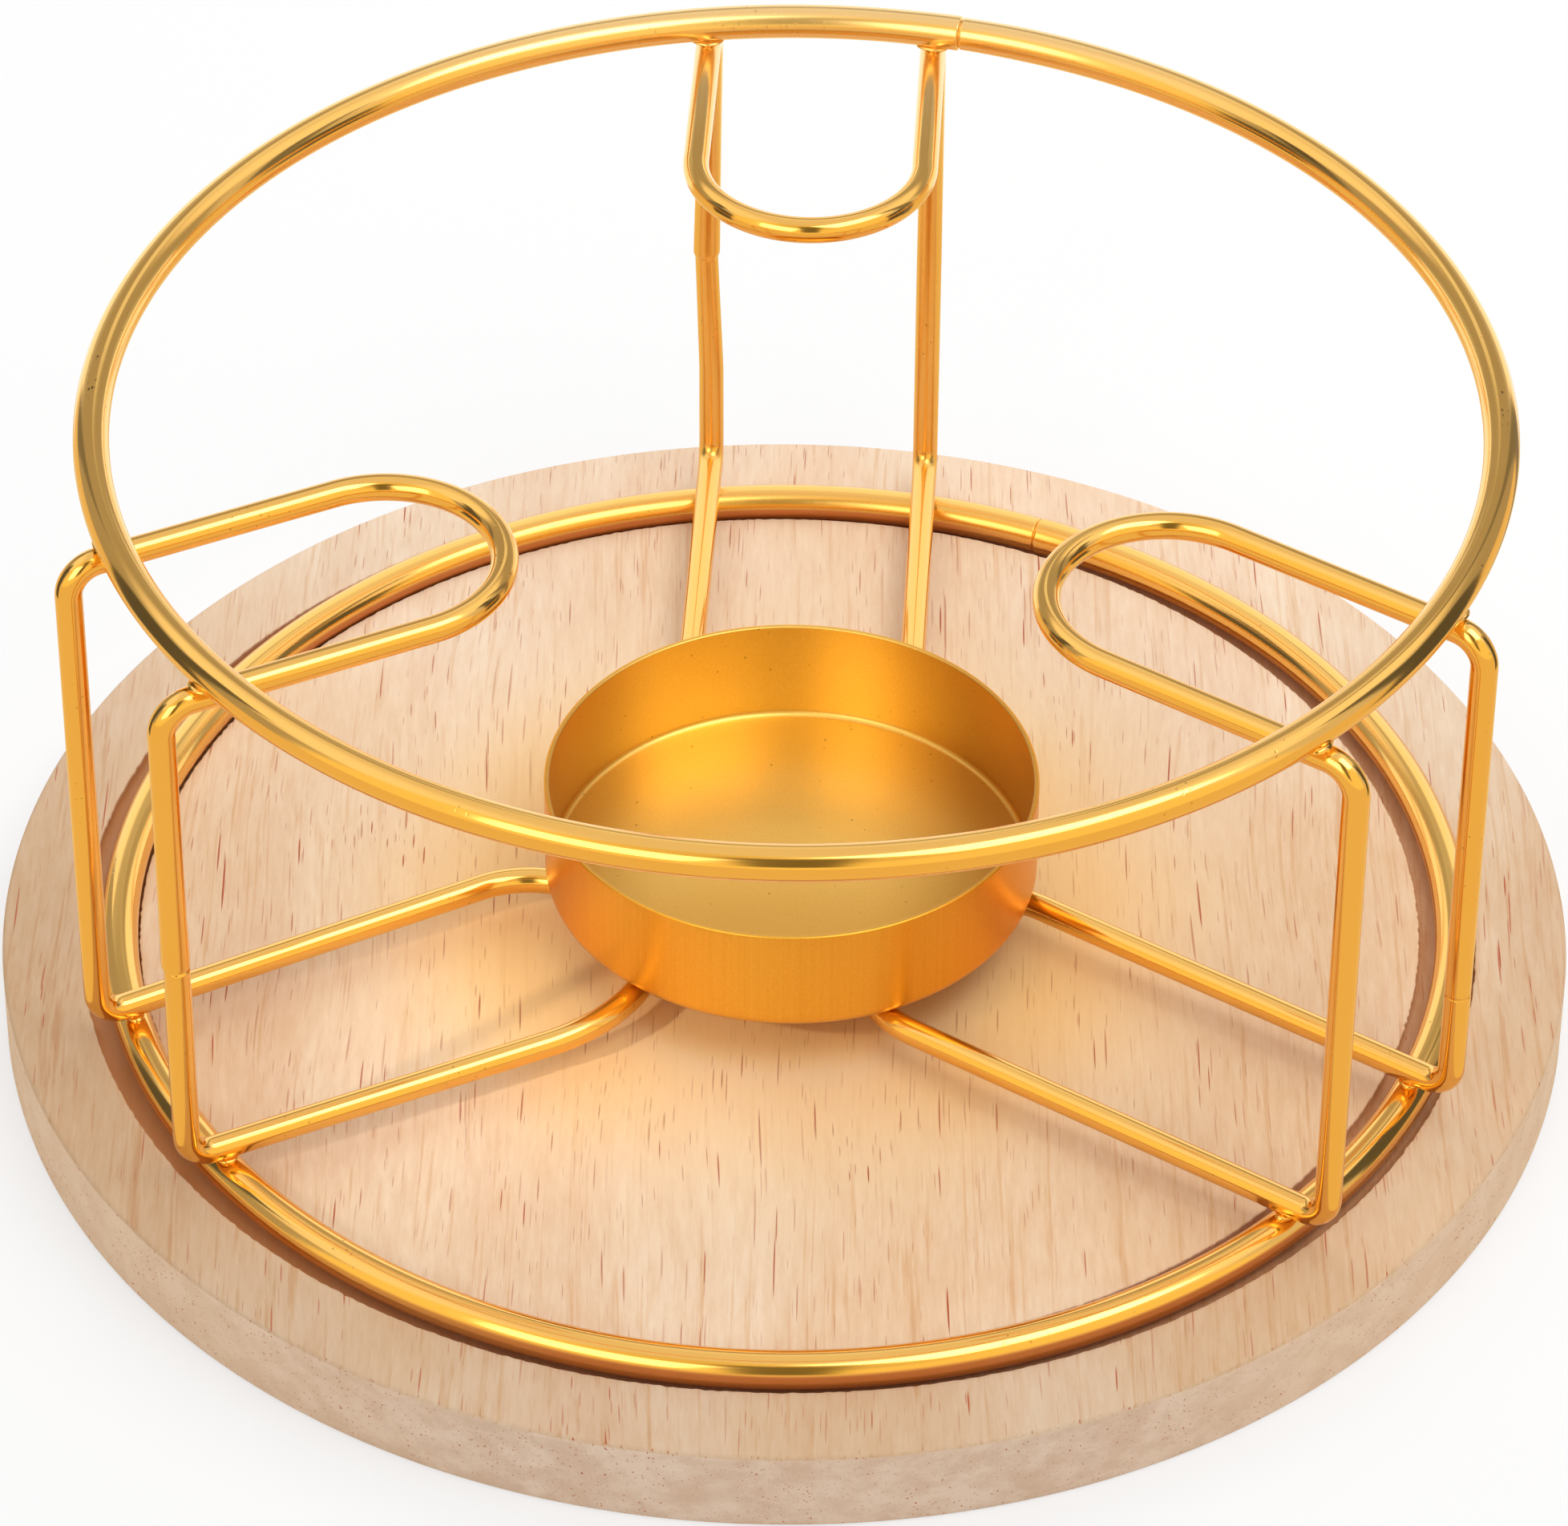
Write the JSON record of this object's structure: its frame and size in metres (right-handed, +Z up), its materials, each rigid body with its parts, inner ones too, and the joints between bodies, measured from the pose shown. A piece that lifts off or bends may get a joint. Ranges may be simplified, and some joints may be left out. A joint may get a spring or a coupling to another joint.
{
  "type": "teapot warmer",
  "caption": "Tealight teapot warmer: gold wire stand with bent-wire brackets, a pot ring and a candle cup, lifting out of the groove of a round wooden board.",
  "frame": {"origin": "middle of the board's underside, which stands on the table", "axes": "+Z up, the way the stand lifts out; -Y towards the front, the open side between the left and right brackets; +X to the right"},
  "size_m": [0.15, 0.15, 0.0696],
  "materials": {
    "board_wood": "pale open-pored hardwood, sanded and left matt",
    "gold_wire": "polished gold-coloured plating on drawn wire",
    "gold_cup": "satin gold-coloured plating on stamped sheet",
    "gold_weld": "plated weld beads"
  },
  "bodies": {
    "board": {"base_board": "board_wood"},
    "stand": {"base_ring": "gold_wire", "bracket_rear": "gold_wire", "bracket_left": "gold_wire", "bracket_right": "gold_wire", "top_ring": "gold_wire", "candle_cup": "gold_cup", "base_ring_welds": "gold_weld", "top_ring_welds": "gold_weld", "cup_welds": "gold_weld"}
  },
  "joints": [
    {"name": "stand_lift", "type": "slide", "parent": "board", "child": "stand", "axis": [0, 0, 1], "range_m": [0, 0.04]}
  ]
}
